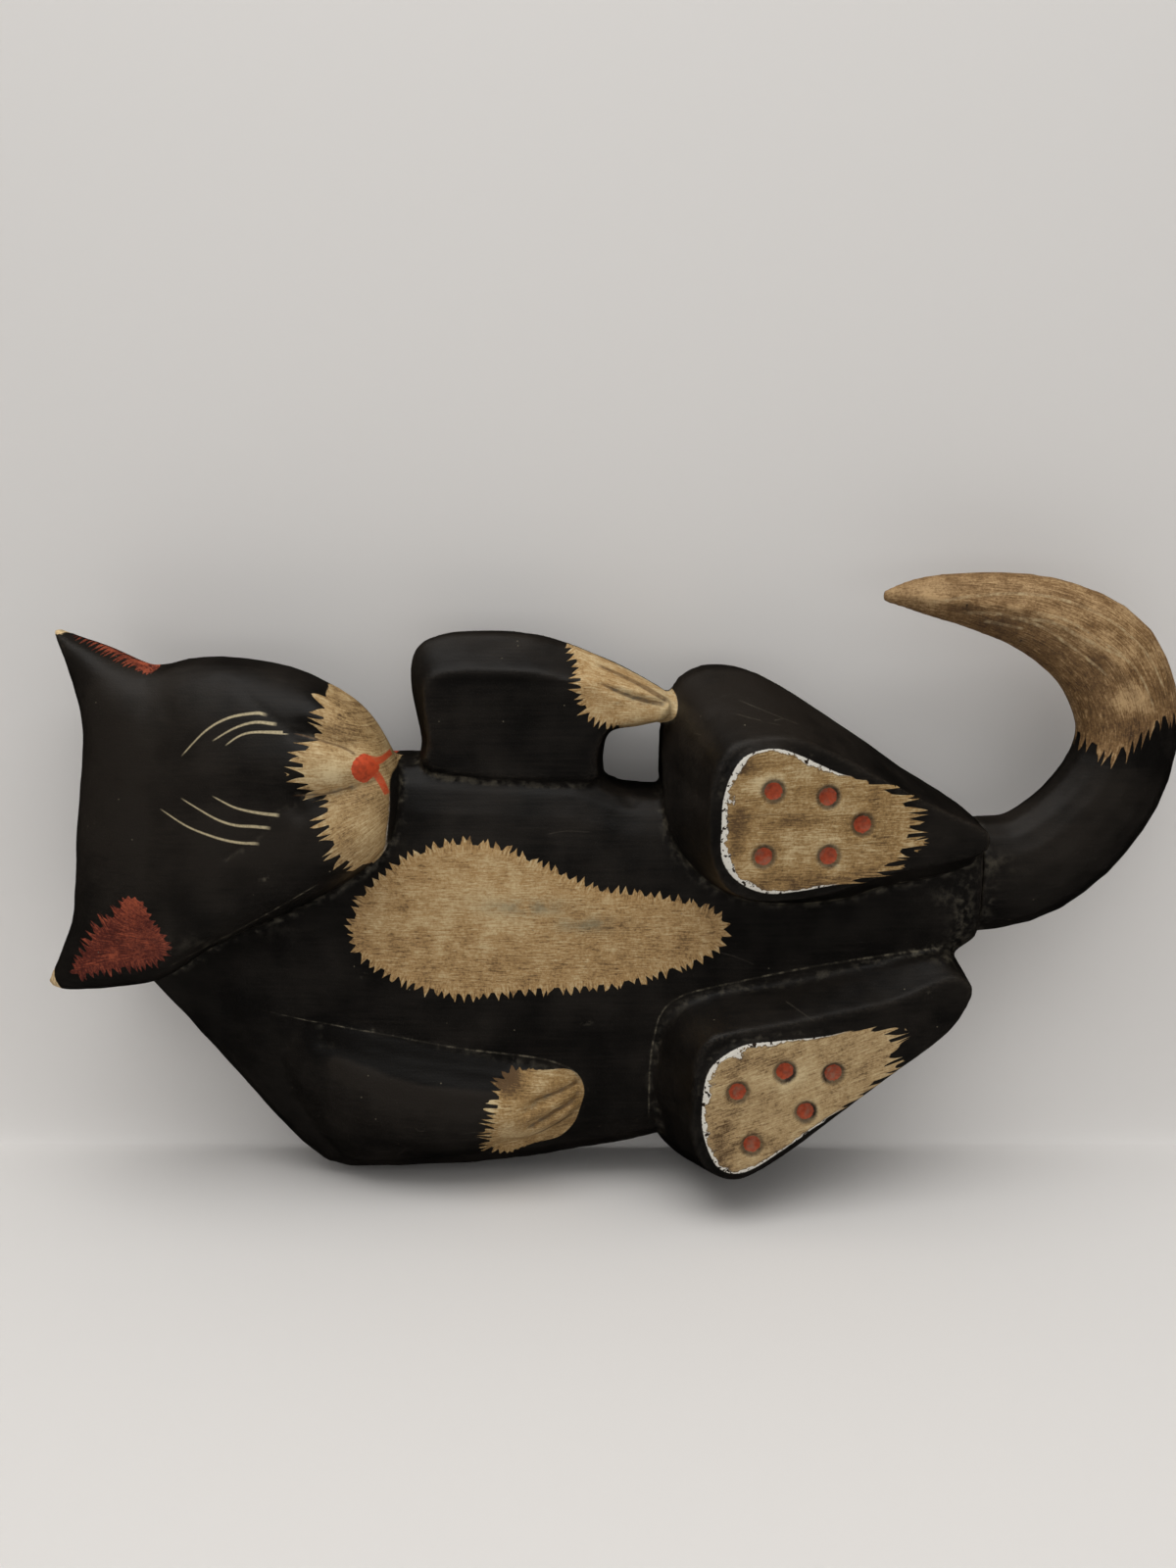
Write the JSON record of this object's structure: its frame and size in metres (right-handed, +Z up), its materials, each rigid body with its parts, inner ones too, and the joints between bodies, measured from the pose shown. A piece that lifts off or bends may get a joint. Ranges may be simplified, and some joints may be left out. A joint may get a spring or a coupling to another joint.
{
  "type": "wooden cat wall plaque",
  "caption": "Carved and painted wooden cat lying on its side, with a flat back for hanging, raised paws with padded soles, a tan muzzle and belly, and a curled horn-like tail",
  "frame": {"origin": "the hanging point on the flat back, level with the centre of mass", "axes": "+X from the ears to the tail, +Y into the wall, +Z up as the plaque hangs on its side; the carving faces -Y"},
  "size_m": [0.4741, 0.0762, 0.2637],
  "materials": {
    "black_painted_wood": "satin black paint, worn at the edges",
    "tail_painted_wood": "tan brushed paint over black, worn"
  },
  "bodies": {
    "root": {"cat_body": "black_painted_wood", "tail": "tail_painted_wood"}
  },
  "joints": []
}
